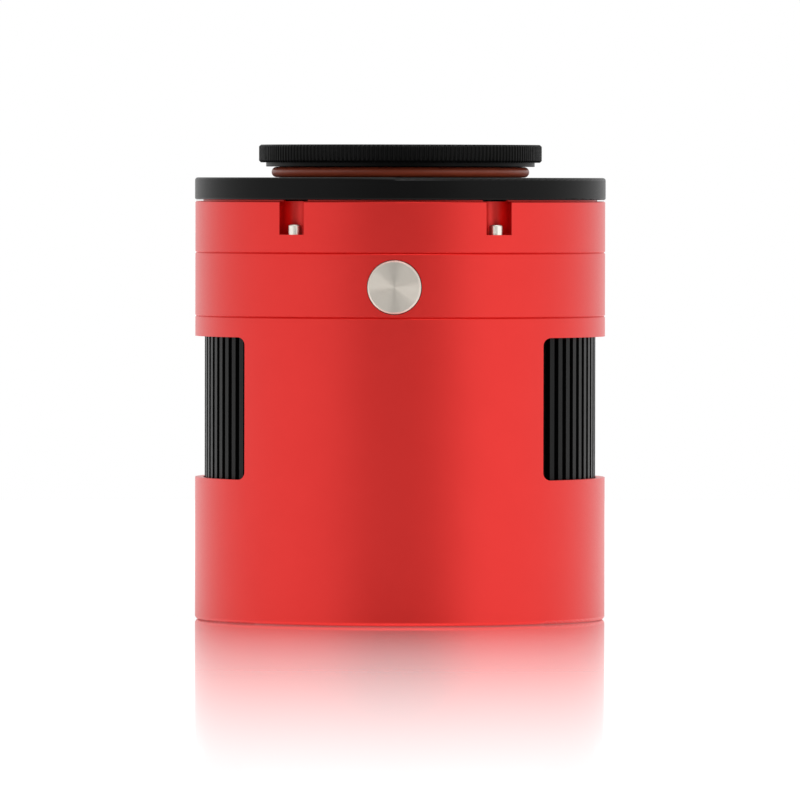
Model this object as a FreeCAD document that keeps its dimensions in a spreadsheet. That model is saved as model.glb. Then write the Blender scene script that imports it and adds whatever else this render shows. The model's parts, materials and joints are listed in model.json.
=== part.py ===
"""Cooled deep-sky camera, 90 mm in diameter, standing on its rear cover.

The origin is the centre of the rear face. +Z is the optical axis and runs up to the dust cap, and -Y is
the side with the desiccant plug. Lengths are in millimetres and angles in degrees.

From the bottom up: rear cover with fan grille and sockets, housing with the fan and the finned heat sink,
chamber ring with the cooler and the sensor, front ring with the glass window, front plate, dust cap.
"""

import FreeCAD
import Part
import math
import os
import Sketcher

DRIVING = {
    # outer casing
    "body_radius": 45.0,
    "shell_wall": 1.8,
    "shell_height": 65.2,
    "cover_rim": 1.4,
    "cover_spigot": 1.6,
    "rim_round": 0.9,
    "edge_chamfer": 0.25,
    "vent_sill": 29.85,
    "vent_height": 30.95,
    "vent_corner": 1.7,
    "vent_start": 47.0,
    "vent_start_right": 45.3,
    "spigot_height": 3.0,
    "spigot_wall": 6.15,
    "seat_gap": 0.05,
    "lug_height": 6.0,
    "lug_depth": 6.7,
    "lug_start": 34.0,
    "lug_end": 60.5,
    "lug_middle": 3.0,
    # chamber ring
    "chamber_height": 13.95,
    "chamber_wall": 12.0,
    "floor_thick": 2.25,
    "floor_hole": 22.0,
    # desiccant plug and its well
    "plug_height": 6.67,
    "plug_radius": 5.8,
    "plug_proud": 0.6,
    "plug_head": 2.0,
    "plug_rim": 0.4,
    "plug_gap": 0.15,
    "plug_thread": 5.0,
    "plug_shank": 3.4,
    "plug_seal_wire": 0.45,
    "tablet_radius": 4.5,
    "tablet_stack": 3.12,
    "well_lip": 0.6,
    "well_mouth": 3.5,
    # front ring and its notches
    "ring_height": 11.25,
    "ring_lip": 1.8,
    "lip_radius": 24.0,
    "notch_inset": 1.55,
    "notch_radius": 3.1,
    "notch_depth": 7.25,
    "notch_angle": 30.0,
    "post_radius": 1.45,
    "post_height": 2.15,
    "post_chamfer": 0.2,
    "post_shank": 0.8,
    "post_reach": 9.0,
    "post_key": 1.3,
    "ring_seal_inset": 3.0,
    "ring_seal_wire": 0.55,
    "ring_seal_room": 0.25,
    # window
    "window_radius": 27.5,
    "window_thick": 2.5,
    "gasket_thick": 0.4,
    "heater_thick": 0.2,
    "retainer_radius": 28.2,
    "retainer_thick": 2.2,
    "clear_radius": 24.6,
    "key_slot_wide": 1.6,
    "key_slot_high": 1.4,
    "key_slot_depth": 1.2,
    # front plate and its tilt screws
    "plate_gap": 0.3,
    "trap_inset": 2.0,
    "trap_wall": 0.5,
    "trap_height": 0.9,
    "trap_room": 0.3,
    "plate_thick": 4.85,
    "plate_proud": 0.1,
    "plate_top_round": 0.65,
    "plate_bottom_round": 0.4,
    "thread_radius": 27.0,
    "thread_gap": 0.05,
    "accessory_circle": 35.5,
    "tilt_circle": 37.5,
    "tilt_spread": 7.0,
    "tilt_play": 0.25,
    "tilt_reach": 6.0,
    "push_sink": 1.0,
    "push_key": 1.5,
    "push_key_depth": 1.8,
    # dust cap
    "cap_radius": 31.05,
    "cap_thick": 3.9,
    "cap_chamfer": 0.4,
    "cap_collar_radius": 29.5,
    "cap_collar": 0.9,
    "cap_thread": 2.4,
    "cap_wall": 3.4,
    "cap_roof": 2.0,
    "cap_dish": 0.4,
    "cap_dish_radius": 26.0,
    "cap_seal_wire": 1.15,
    "seal_slack": 0.05,
    # cooler and sensor
    "back_focus": 17.5,
    "stage_one_side": 30.0,
    "stage_one_thick": 3.6,
    "stage_two_side": 20.0,
    "stage_two_thick": 3.0,
    "finger_side": 24.0,
    "finger_foot": 1.8,
    "finger_stub": 14.0,
    "foam_gap": 0.4,
    "sensor_long": 32.0,
    "sensor_wide": 26.0,
    "sensor_thick": 2.4,
    "die_long": 23.5,
    "die_wide": 15.7,
    "die_thick": 0.5,
    "cover_glass": 0.6,
    "cover_glass_frame": 4.0,
    "sensor_board_radius": 31.0,
    "board_thick": 1.6,
    "sensor_pillar_circle": 26.5,
    # heat sink
    "sink_gap": 0.3,
    "sink_disc_radius": 36.0,
    "sink_disc": 4.25,
    "fin_inner": 20.0,
    "fin_thick": 1.5,
    "fin_pitch": 4.0,
    "fin_gap_count": 5.0,
    "sink_core": 10.0,
    "sink_seal_circle": 24.9,
    "sink_seal_wire": 0.55,
    "sink_screw_circle": 29.3,
    "sink_cone": 6.0,
    "sink_skin": 0.6,
    "sink_seal_room": 0.2,
    "sink_tap": 7.0,
    "fin_root": 0.5,
    "fin_step": 1.0,
    "sink_notch": 10.0,
    "sink_notch_centre": 4.0,
    # fan
    "fan_side": 50.0,
    "fan_thick": 15.0,
    "fan_hole_pitch": 40.0,
    "fan_offset": 7.0,
    "fan_bore": 24.0,
    "fan_tip_gap": 0.7,
    "fan_hub": 11.5,
    "fan_blade": 1.2,
    "fan_mount": 2.0,
    "grille_bar": 1.6,
    "grille_spoke": 2.6,
    "fan_arm": 3.0,
    "fan_arm_overlap": 0.5,
    "fan_screw_bite": 6.0,
    "blade_lean": 42.0,
    # screws
    "tie_inset": 5.5,
    "cover_screw_turn": 11.0,
    "bolt_radius": 1.5,
    "bolt_head": 2.75,
    "bolt_head_height": 3.0,
    "bolt_clearance": 0.25,
    "small_bolt": 1.25,
    "small_head": 2.25,
    "small_head_height": 1.5,
    "bolt_key": 2.5,
    "fan_key": 2.0,
    "small_key": 1.5,
    "thread_bite": 2.0,
    # boards and sockets
    "socket_recess": 0.6,
    "socket_row": 28.0,
    "socket_depth": 17.4,
    "socket_gap": 0.3,
    "usb_b_wide": 12.0,
    "usb_b_high": 11.0,
    "usb_a_wide": 13.2,
    "usb_a_high": 5.7,
    "usb_a_step": 7.2,
    "usb_a_place": 13.6,
    "jack_place": 12.9,
    "jack_nose": 4.2,
    "jack_wide": 9.0,
    "jack_high": 11.0,
    "jack_bore": 3.2,
    "jack_pin": 1.05,
    "socket_wall": 0.4,
    "socket_well": 9.5,
    "board_half_width": 25.0,
    "board_gap": 3.1,
    "pillar_radius": 2.0,
    "flex_wide": 11.0,
    "flex_thick": 0.3,
    "flex_row": 30.0,
    "chip_side": 12.5,
    "chip_thick": 1.4,
    "small_chip_wide": 8.0,
    "small_chip_high": 10.0,
    "board_fan_gap": 0.8,
    "board_depth": 20.7,
    "board_side": 13.0,
    "board_corner": 10.0,
    "board_pillar_row": 6.5,
    "board_pillar_tail": 8.9,
    "board_screw_bite": 4.0,
    "connector_deep": 4.0,
    "connector_high": 1.6,
    "connector_proud": 1.2,
    "flex_margin": 1.0,
    "tongue_sink": 1.0,
    "usb_b_tongue_wide": 5.6,
    "usb_b_tongue_high": 3.2,
    "usb_a_tongue_wide": 11.0,
    "usb_a_tongue_high": 1.8,
}

FINE = 1e-4
CENTRE = (0, 0)
BLADES = 7
GRILLE_RINGS = 4
SCREW_SPOTS = (45.0, 135.0, 225.0, 315.0)
SINK_SCREW_SPOTS = (22.5, 112.5, 202.5, 292.5)
TILT_SPOTS = (90.0, 210.0, 330.0)
NOTCH_SIDES = ((270, 1), (270, -1), (90, 1), (90, -1))

doc = FreeCAD.newDocument("camera")
parts = []


# ---------------------------------------------------------------- sizes


class Size:
    """A length with its value and the formula that ties it to the spreadsheet."""

    def __init__(self, value, text=None):
        self.value = float(value)
        self.text = text or repr(float(value))

    def join(self, other, sign, value):
        return Size(value, f"({self.text} {sign} {as_size(other).text})")

    def __add__(self, other):
        return self.join(other, "+", self.value + as_size(other).value)

    def __sub__(self, other):
        return self.join(other, "-", self.value - as_size(other).value)

    def __mul__(self, other):
        return self.join(other, "*", self.value * as_size(other).value)

    def __truediv__(self, other):
        return self.join(other, "/", self.value / as_size(other).value)

    def __neg__(self):
        return Size(-self.value, f"(0 - {self.text})")


def as_size(number):
    return number if isinstance(number, Size) else Size(number)


def cosine(angle):
    angle = as_size(angle)
    return Size(math.cos(math.radians(angle.value)), f"cos({angle.text})")


def sine(angle):
    angle = as_size(angle)
    return Size(math.sin(math.radians(angle.value)), f"sin({angle.text})")


def polar(radius, angle):
    """A point on a circle about the optical axis."""
    return (as_size(radius) * cosine(angle), as_size(radius) * sine(angle))


class Sizes:
    """The driving dimensions, in a spreadsheet and as attributes with the same names."""

    def __init__(self):
        sheet = doc.addObject("Spreadsheet::Sheet", "sizes")
        for row, (alias, number) in enumerate(DRIVING.items(), start=1):
            sheet.set(f"A{row}", alias)
            sheet.set(f"B{row}", str(number))
            sheet.setAlias(f"B{row}", alias)
            setattr(self, alias, Size(number, f"sizes.{alias}"))


sizes = Sizes()
doc.recompute()


class Radii:
    """The radii that follow the body's own."""

    inner = sizes.body_radius - sizes.shell_wall
    sink = inner - sizes.sink_gap
    tie = sizes.body_radius - sizes.tie_inset
    notch = sizes.body_radius - sizes.notch_inset
    chamber = sizes.body_radius - sizes.chamber_wall
    ring_seal = chamber + sizes.ring_seal_inset
    trap = sizes.body_radius - sizes.trap_inset
    plate = sizes.body_radius + sizes.plate_proud


class Levels:
    """The heights where pieces meet, stacked up from the rear face."""

    rear = as_size(0)
    shell = sizes.cover_rim
    cover_inside = shell + sizes.cover_spigot
    chamber = shell + sizes.shell_height
    chamber_floor = chamber + sizes.floor_thick
    ring = chamber + sizes.chamber_height
    ring_ledge = ring + sizes.ring_lip
    ring_top = ring + sizes.ring_height
    plate = ring_top + sizes.plate_gap
    plate_top = plate + sizes.plate_thick
    glass = ring_ledge + sizes.gasket_thick
    heater = glass + sizes.window_thick
    retainer = heater + sizes.heater_thick
    cap_collar = plate_top + sizes.cap_seal_wire * 2 + sizes.seal_slack * 2
    cap = cap_collar + sizes.cap_collar
    cap_top = cap + sizes.cap_thick
    cap_thread_top = plate_top - sizes.edge_chamfer
    cap_thread_end = cap_thread_top - sizes.cap_thread
    sensor_plane = plate_top - sizes.back_focus
    sensor = sensor_plane - sizes.sensor_thick + sizes.edge_chamfer
    sensor_top = sensor + sizes.sensor_thick
    sensor_board = sensor - sizes.board_thick
    stage_two = chamber + sizes.stage_one_thick
    finger = stage_two + sizes.stage_two_thick
    fin_top = chamber - sizes.sink_disc
    vent = shell + sizes.vent_sill
    plug = chamber + sizes.plug_height
    lug = cover_inside + sizes.plate_gap
    lug_top = lug + sizes.lug_height
    fan = lug_top + sizes.small_head_height + sizes.bolt_clearance
    fin_bottom = fan + sizes.fan_thick
    port_board = sizes.socket_recess + sizes.socket_depth
    main_board = port_board + sizes.board_thick + sizes.board_gap
    main_board_top = main_board + sizes.board_thick
    notch_floor = ring_top - sizes.notch_depth


# ---------------------------------------------------------------- making features


def bind(thing, prop, size):
    """Ties a property of a document object to the spreadsheet."""
    thing.setExpression(prop, as_size(size).text)


def new_body(name):
    body = doc.addObject("PartDesign::Body", name)
    body.Label = name
    body.AllowCompound = True
    parts.append(body)
    return body


def new_sketch(body, plane, offset):
    """A sketch on one of the body's own planes, moved along its normal by offset."""
    number = len([item for item in body.Group if item.isDerivedFrom("Sketcher::SketchObject")])
    sketch = body.newObject("Sketcher::SketchObject", f"{body.Name}_sketch_{number}")
    support = [item for item in body.Origin.OriginFeatures if item.Role == plane][0]
    sketch.AttachmentSupport = [(support, "")]
    sketch.MapMode = "FlatFace"
    bind(sketch, "AttachmentOffset.Base.z", offset)
    return sketch


def place_rules(curve, point, spot):
    """The rules that hold a curve's point at a place measured from the sketch's origin."""
    rules = []
    for kind, size in zip(("DistanceX", "DistanceY"), spot):
        size = as_size(size)
        rules.append((Sketcher.Constraint(kind, -1, 1, curve, point, size.value), size.text))
    return rules


def add_rules(sketch, rules):
    numbers = sketch.addConstraint([rule for rule, _ in rules])
    for number, (_, text) in zip(numbers, rules):
        if text:
            sketch.setExpression(f"Constraints[{number}]", text)


def draw_loop(sketch, corners):
    """A closed outline of straight lines through the corners."""
    first = sketch.GeometryCount
    spots = [FreeCAD.Vector(as_size(x).value, as_size(y).value, 0) for x, y in corners]
    count = len(spots)
    sketch.addGeometry([Part.LineSegment(spots[i], spots[(i + 1) % count]) for i in range(count)])
    rules = []
    for i in range(count):
        following = first + (i + 1) % count
        rules.append((Sketcher.Constraint("Coincident", first + i, 2, following, 1), None))
    for i, corner in enumerate(corners):
        rules += place_rules(first + i, 1, corner)
    add_rules(sketch, rules)


def draw_circle(sketch, spot, radius):
    centre = FreeCAD.Vector(as_size(spot[0]).value, as_size(spot[1]).value, 0)
    radius = as_size(radius)
    curve = sketch.addGeometry(Part.Circle(centre, FreeCAD.Vector(0, 0, 1), radius.value))
    rules = [(Sketcher.Constraint("Radius", curve, radius.value), radius.text)]
    add_rules(sketch, rules + place_rules(curve, 3, spot))


def box_corners(centre, wide, high):
    """The corners of an upright rectangle about a centre."""
    x, y = as_size(centre[0]), as_size(centre[1])
    half_x, half_y = as_size(wide) / 2, as_size(high) / 2
    left, right = x - half_x, x + half_x
    low, top = y - half_y, y + half_y
    return [(left, low), (right, low), (right, top), (left, top)]


def radial_box(near, far, wide, angle):
    """The corners of a rectangle that lies along a radius at an angle."""
    half = as_size(wide) / 2
    corners = [(near, -half), (far, -half), (far, half), (near, half)]
    across, up = cosine(angle), sine(angle)
    return [(as_size(u) * across - v * up, as_size(u) * up + v * across) for u, v in corners]


def wedge(near, far, spread, angle):
    """The corners of a sector of a ring, as wide as an angle to each side, with radial sides."""
    low, high = as_size(angle) - spread, as_size(angle) + spread
    return [polar(near, low), polar(far, low), polar(far, high), polar(near, high)]


def hexagon(centre, across_flats):
    reach = as_size(across_flats) / 2 / cosine(30)
    x, y = as_size(centre[0]), as_size(centre[1])
    return [(x + reach * cosine(60 * i), y + reach * sine(60 * i)) for i in range(6)]


def draw(sketch, loops, circles):
    for corners in loops:
        draw_loop(sketch, corners)
    for spot, radius in circles:
        draw_circle(sketch, spot, radius)


def pad(body, bottom, height, loops=(), circles=(), plane="XY_Plane"):
    """Adds material above the plane at the level called bottom."""
    sketch = new_sketch(body, plane, bottom)
    draw(sketch, loops, circles)
    feature = body.newObject("PartDesign::Pad", f"{body.Name}_pad")
    feature.Profile = sketch
    bind(feature, "Length", height)
    doc.recompute()
    return feature


def pocket(body, top, depth, loops=(), circles=(), plane="XY_Plane"):
    """Cuts away material below the plane at the level called top, and makes sure that it did."""
    before = body.Shape.Volume
    sketch = new_sketch(body, plane, top)
    draw(sketch, loops, circles)
    feature = body.newObject("PartDesign::Pocket", f"{body.Name}_pocket")
    feature.Profile = sketch
    bind(feature, "Length", depth)
    doc.recompute()
    if body.Shape.Volume > before - FINE:
        raise ValueError(f"{body.Label}: a pocket cut nothing")
    return feature


def turn(body, corners, groove=False):
    """Turns an outline of (radius, height) corners about the optical axis."""
    before = body.Shape.Volume if groove else 0
    sketch = new_sketch(body, "XZ_Plane", 0)
    draw_loop(sketch, corners)
    kind = "Groove" if groove else "Revolution"
    feature = body.newObject(f"PartDesign::{kind}", f"{body.Name}_{kind.lower()}")
    feature.Profile = sketch
    feature.ReferenceAxis = (sketch, ["V_Axis"])
    feature.Angle = 360
    doc.recompute()
    if groove and body.Shape.Volume > before - FINE:
        raise ValueError(f"{body.Label}: a groove cut nothing")
    return feature


def tube_corners(inner, outer, bottom, top):
    return [(inner, bottom), (outer, bottom), (outer, top), (inner, top)]


def round_edges(body, level, radius):
    """The names of the body's circular edges of a radius at a level."""
    names = []
    for number, edge in enumerate(body.Shape.Edges, start=1):
        circle = isinstance(edge.Curve, Part.Circle)
        if not circle or abs(edge.Curve.Radius - radius.value) > FINE:
            continue
        if abs(edge.BoundBox.ZMin - level.value) < FINE and abs(edge.BoundBox.ZMax - level.value) < FINE:
            names.append(f"Edge{number}")
    return names


def dress(body, kind, level, radius, size):
    """Fillets or chamfers the circular edges of a radius at a level."""
    names = round_edges(body, level, as_size(radius))
    if not names:
        raise ValueError(f"{body.Label}: no edge to {kind} at {level.value}")
    base = body.Tip
    feature = body.newObject(f"PartDesign::{kind}", f"{body.Name}_{kind.lower()}")
    feature.Base = (base, names)
    bind(feature, "Radius" if kind == "Fillet" else "Size", size)
    doc.recompute()


def polar_pattern(body, features, count, angle):
    """Repeats features about the optical axis over an angle."""
    pattern = body.newObject("PartDesign::PolarPattern", f"{body.Name}_pattern")
    pattern.Originals = features
    pattern.Axis = (features[0].Profile[0], ["N_Axis"])
    pattern.Occurrences = count
    pattern.Angle = angle
    body.Tip = pattern
    doc.recompute()


def torus(name, ring_radius, wire_radius, centre):
    """An O-ring lying flat about the optical axis."""
    ring = doc.addObject("Part::Torus", name)
    ring.Label = name
    bind(ring, "Radius1", ring_radius)
    bind(ring, "Radius2", wire_radius)
    bind(ring, "Placement.Base.z", centre)
    parts.append(ring)
    return ring


def block(name, centre, wide, deep, bottom, height):
    """An upright block in a body of its own."""
    body = new_body(name)
    pad(body, bottom, height, loops=[box_corners(centre, wide, deep)])
    return body


def screws(name, spots, top, head, head_height, shank, length, hex_width):
    """A group of socket-head screws that point down, with their heads' tops at one level."""
    body = new_body(name)
    under = top - head_height
    pad(body, under - length, length, circles=[(spot, shank) for spot in spots])
    pad(body, under, head_height, circles=[(spot, head) for spot in spots])
    depth = as_size(head_height) * 0.5
    pocket(body, top, depth, loops=[hexagon(spot, hex_width) for spot in spots])
    return body


# ---------------------------------------------------------------- casing


def make_rear_cover():
    s, level = sizes, Levels
    body = new_body("rear_cover")
    inner = Radii.inner - s.seat_gap
    turn(body, [
        (0, level.rear), (s.body_radius, level.rear), (s.body_radius, level.shell),
        (inner, level.shell), (inner, level.cover_inside), (0, level.cover_inside),
    ])
    dress(body, "Fillet", level.rear, s.body_radius, s.rim_round)
    # finger guard under the fan: ring slots, then two bars laid across them
    thick = level.cover_inside
    centre = (0, s.fan_offset)
    pitch = s.fan_bore / (GRILLE_RINGS + 1)
    edges = []
    for ring in range(1, GRILLE_RINGS + 1):
        edges.append((centre, pitch * ring + s.grille_bar / 2))
        edges.append((centre, pitch * (ring + 1) - s.grille_bar / 2))
    pocket(body, thick, thick, circles=edges)
    for wide, high in ((s.fan_bore * 2, s.grille_spoke), (s.grille_spoke, s.fan_bore * 2)):
        pad(body, level.rear, thick, loops=[box_corners(centre, wide, high)])
    room = s.socket_gap * 2
    holes = [box_corners((0, -s.socket_row), s.usb_b_wide + room, s.usb_b_high + room)]
    for spot in usb_a_spots():
        holes.append(box_corners(spot, s.usb_a_wide + room, s.usb_a_high + room))
    nose = ((-s.jack_place, -s.socket_row), s.jack_nose + s.socket_gap)
    pocket(body, thick, thick, loops=holes, circles=[nose])
    spots = cover_screw_spots()
    pocket(body, thick, thick, circles=[(spot, s.small_bolt + s.bolt_clearance) for spot in spots])
    pocket(body, s.small_head_height, s.small_head_height,
           circles=[(spot, s.small_head + s.bolt_clearance) for spot in spots])


def usb_a_spots():
    s = sizes
    return [(s.usb_a_place, -s.socket_row + s.usb_a_step / 2 * side) for side in (1, -1)]


def cover_screw_spots():
    return [polar(Radii.tie, as_size(angle) + sizes.cover_screw_turn) for angle in SCREW_SPOTS]


def tie_spots():
    return [polar(Radii.tie, angle) for angle in SCREW_SPOTS]


def cut_window(body, offset, half):
    """A window with rounded corners through one side of the shell, a half width to each side."""
    s, level = sizes, Levels
    middle = level.vent + s.vent_height / 2
    corner = s.vent_corner
    outlines = [
        box_corners((0, middle), half * 2, s.vent_height - corner * 2),
        box_corners((0, middle), (half - corner) * 2, s.vent_height),
    ]
    for outline in outlines:
        pocket(body, offset, Radii.plate, loops=[outline], plane="YZ_Plane")
    for side in (1, -1):
        for lift in (1, -1):
            spot = ((half - corner) * side, middle + (s.vent_height / 2 - corner) * lift)
            pocket(body, offset, Radii.plate, circles=[(spot, corner)], plane="YZ_Plane")


def make_main_housing():
    s, level = sizes, Levels
    body = new_body("main_housing")
    inner = Radii.inner
    turn(body, tube_corners(inner, s.body_radius, level.shell, level.chamber))
    dress(body, "Chamfer", level.chamber, s.body_radius, s.edge_chamfer)
    # two windows with rounded corners, cut straight across from one side and then from the other
    for offset, start in ((Radii.plate, s.vent_start_right), (as_size(0), s.vent_start)):
        cut_window(body, offset, s.body_radius * cosine(start))
    # lugs inside the foot of the shell, for the tie screws and the cover's screws
    near, far = inner - s.lug_depth, inner + s.shell_wall / 2
    lugs = []
    for spot in SCREW_SPOTS:
        turned = spot - SCREW_SPOTS[0]
        angles = [s.lug_start + turned, s.lug_middle + spot, s.lug_end + turned]
        lugs.append([polar(near, a) for a in angles] + [polar(far, a) for a in reversed(angles)])
    pad(body, level.lug, s.lug_height, loops=lugs)
    pocket(body, level.lug_top, s.lug_height,
           circles=[(spot, s.bolt_radius + s.bolt_clearance) for spot in tie_spots()])
    head_room = s.bolt_head_height + s.bolt_clearance
    pocket(body, level.lug + head_room, head_room,
           circles=[(spot, s.bolt_head + s.bolt_clearance) for spot in tie_spots()])
    pocket(body, level.lug_top, s.lug_height, circles=[(spot, s.small_bolt) for spot in cover_screw_spots()])


def make_case_screws():
    s, level = sizes, Levels
    # long screws hold the housing up against the chamber ring; their heads are in the lugs
    body = new_body("tie_screws")
    under = level.lug + head_seat()
    end = level.chamber + s.spigot_height * 2
    pad(body, under, end - under, circles=[(spot, s.bolt_radius) for spot in tie_spots()])
    pad(body, under - s.bolt_head_height, s.bolt_head_height,
        circles=[(spot, s.bolt_head) for spot in tie_spots()])
    pocket(body, under - s.bolt_head_height / 2, s.bolt_head_height / 2,
           loops=[hexagon(spot, s.bolt_key) for spot in tie_spots()])
    # short screws hold the rear cover, a little below flush
    body = new_body("rear_cover_screws")
    head = s.small_head_height - s.bolt_clearance
    spots = cover_screw_spots()
    pad(body, s.small_head_height - head, head, circles=[(spot, s.small_head) for spot in spots])
    shank = level.lug_top - s.small_head_height - s.edge_chamfer
    pad(body, s.small_head_height, shank, circles=[(spot, s.small_bolt) for spot in spots])
    pocket(body, s.small_head_height - head / 2, head / 2,
           loops=[hexagon(spot, s.fan_key) for spot in spots])


def head_seat():
    return sizes.bolt_head_height + sizes.bolt_clearance


def cut_seal_groove(body, circle, wire, room, top):
    """A groove in an upper face for an O-ring, a little wider than its cord."""
    s = sizes
    half = wire + room
    depth = wire * 2 + s.seal_slack
    turn(body, tube_corners(circle - half, circle + half, top - depth, top), groove=True)


def make_chamber_ring():
    s, level = sizes, Levels
    body = new_body("chamber_ring")
    c = s.edge_chamfer
    spigot_outer = Radii.inner - s.seat_gap
    spigot_inner = spigot_outer - s.spigot_wall
    spigot_end = level.chamber - s.spigot_height
    turn(body, [
        (s.floor_hole, level.chamber), (spigot_inner, level.chamber), (spigot_inner, spigot_end),
        (spigot_outer, spigot_end), (spigot_outer, level.chamber),
        (s.body_radius - c, level.chamber), (s.body_radius, level.chamber + c),
        (s.body_radius, level.ring - c), (s.body_radius - c, level.ring),
        (Radii.chamber, level.ring), (Radii.chamber, level.chamber_floor),
        (s.floor_hole, level.chamber_floor),
    ])
    cut_seal_groove(body, Radii.ring_seal, s.ring_seal_wire, s.ring_seal_room, level.ring)
    # the desiccant well, bored in from the side: head seat, thread, mouth
    spot = (0, level.plug)
    reach = s.body_radius + s.plug_shank
    pocket(body, reach, reach - plug_seat(), circles=[(spot, s.plug_radius + s.plug_gap)], plane="XZ_Plane")
    well_end = Radii.chamber + s.well_lip
    pocket(body, reach, reach - well_end, circles=[(spot, s.plug_thread + s.thread_gap)], plane="XZ_Plane")
    pocket(body, reach, reach - Radii.chamber + s.thread_bite, circles=[(spot, s.well_mouth)],
           plane="XZ_Plane")
    # screw holes and the slot for the sealed connector
    pocket(body, level.chamber + s.spigot_height * 2, s.spigot_height * 3,
           circles=[(spot, s.bolt_radius) for spot in tie_spots()])
    pocket(body, level.ring, s.spigot_height * 2, circles=[(spot, s.bolt_radius) for spot in tie_spots()])
    pocket(body, level.ring, s.post_reach - (level.notch_floor - level.ring),
           circles=[(spot, s.post_shank) for spot in notch_spots()])
    pocket(body, level.chamber_floor, s.floor_thick,
           circles=[(spot, s.bolt_radius + s.bolt_clearance) for spot in sink_screw_spots()])
    pocket(body, level.chamber_floor, s.floor_thick, loops=[connector_corners(s.bolt_clearance)])


def plug_seat():
    """How far from the optical axis the plug's seal rests."""
    s = sizes
    return s.body_radius + s.plug_proud - s.plug_head - s.plug_seal_wire * 2 - s.seal_slack * 2


def notch_spots():
    s = sizes
    return [polar(Radii.notch, as_size(middle) + s.notch_angle * side) for middle, side in NOTCH_SIDES]


def sink_screw_spots():
    return [polar(sizes.sink_screw_circle, angle) for angle in SINK_SCREW_SPOTS]


def connector_corners(gap):
    s = sizes
    return box_corners((0, -s.flex_row), s.flex_wide + gap * 2, s.connector_deep + gap * 2)


def make_front_ring():
    s, level = sizes, Levels
    body = new_body("front_ring")
    c = s.edge_chamfer
    turn(body, [
        (s.lip_radius, level.ring), (s.body_radius - c, level.ring), (s.body_radius, level.ring + c),
        (s.body_radius, level.ring_top - c), (s.body_radius - c, level.ring_top),
        (s.retainer_radius, level.ring_top),
        (s.retainer_radius, level.ring_ledge), (s.lip_radius, level.ring_ledge),
    ])
    # a low lip that stands in the plate's groove, so that no light passes under the tilted plate
    trap_outer = Radii.trap + s.trap_wall / 2
    trap = [(CENTRE, trap_outer), (CENTRE, trap_outer - s.trap_wall)]
    pad(body, level.ring_top, s.trap_height, circles=trap)
    spots = notch_spots()
    cut_top = level.ring_top + s.trap_height
    cut_deep = s.notch_depth + s.trap_height
    pocket(body, cut_top, cut_deep, circles=[(spot, s.notch_radius) for spot in spots])
    outside = s.body_radius + s.notch_radius
    mouths = [radial_box(Radii.notch, outside, s.notch_radius * 2, as_size(middle) + s.notch_angle * side)
              for middle, side in NOTCH_SIDES]
    pocket(body, cut_top, cut_deep, loops=mouths)
    pocket(body, level.notch_floor, s.ring_height, circles=[(spot, s.post_shank) for spot in spots])
    # head pockets and shank holes of the screws that clamp the ring to the chamber ring
    pocket(body, level.ring_top, head_seat(),
           circles=[(spot, s.bolt_head + s.bolt_clearance) for spot in tie_spots()])
    pocket(body, level.ring_top, s.ring_height,
           circles=[(spot, s.bolt_radius + s.bolt_clearance) for spot in tie_spots()])
    pocket(body, level.ring_top, s.tilt_reach, circles=[(spot, s.bolt_radius) for spot in tilt_spots(-1)])


def tilt_spots(side):
    s = sizes
    return [polar(s.tilt_circle, as_size(angle) + s.tilt_spread * side) for angle in TILT_SPOTS]


def make_ring_screws():
    s, level = sizes, Levels
    screws("ring_screws", tie_spots(), level.ring_top - s.bolt_clearance, s.bolt_head, s.bolt_head_height,
           s.bolt_radius, s.ring_height + s.thread_bite, s.bolt_key)
    body = new_body("notch_screws")
    spots = notch_spots()
    pad(body, level.notch_floor - s.post_reach, s.post_reach,
        circles=[(spot, s.post_shank) for spot in spots])
    pad(body, level.notch_floor, s.post_height, circles=[(spot, s.post_radius) for spot in spots])
    top = level.notch_floor + s.post_height
    dress(body, "Chamfer", top, s.post_radius, s.post_chamfer)
    pocket(body, top, s.post_height / 2, loops=[hexagon(spot, s.post_key) for spot in spots])


def make_window():
    s, level = sizes, Levels
    body = new_body("window_gasket")
    turn(body, tube_corners(s.clear_radius, s.window_radius, level.ring_ledge, level.glass))
    body = new_body("window_glass")
    turn(body, tube_corners(0, s.window_radius, level.glass, level.heater))
    body = new_body("window_heater")
    turn(body, tube_corners(s.clear_radius, s.window_radius, level.heater, level.retainer))
    body = new_body("window_retainer")
    top = level.retainer + s.retainer_thick
    turn(body, tube_corners(s.clear_radius, s.retainer_radius - s.thread_gap, level.retainer, top))
    middle = (s.clear_radius + s.retainer_radius) / 2
    slots = [box_corners((middle * side, 0), s.key_slot_wide, s.key_slot_high) for side in (1, -1)]
    pocket(body, top, s.key_slot_depth, loops=slots)


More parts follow.
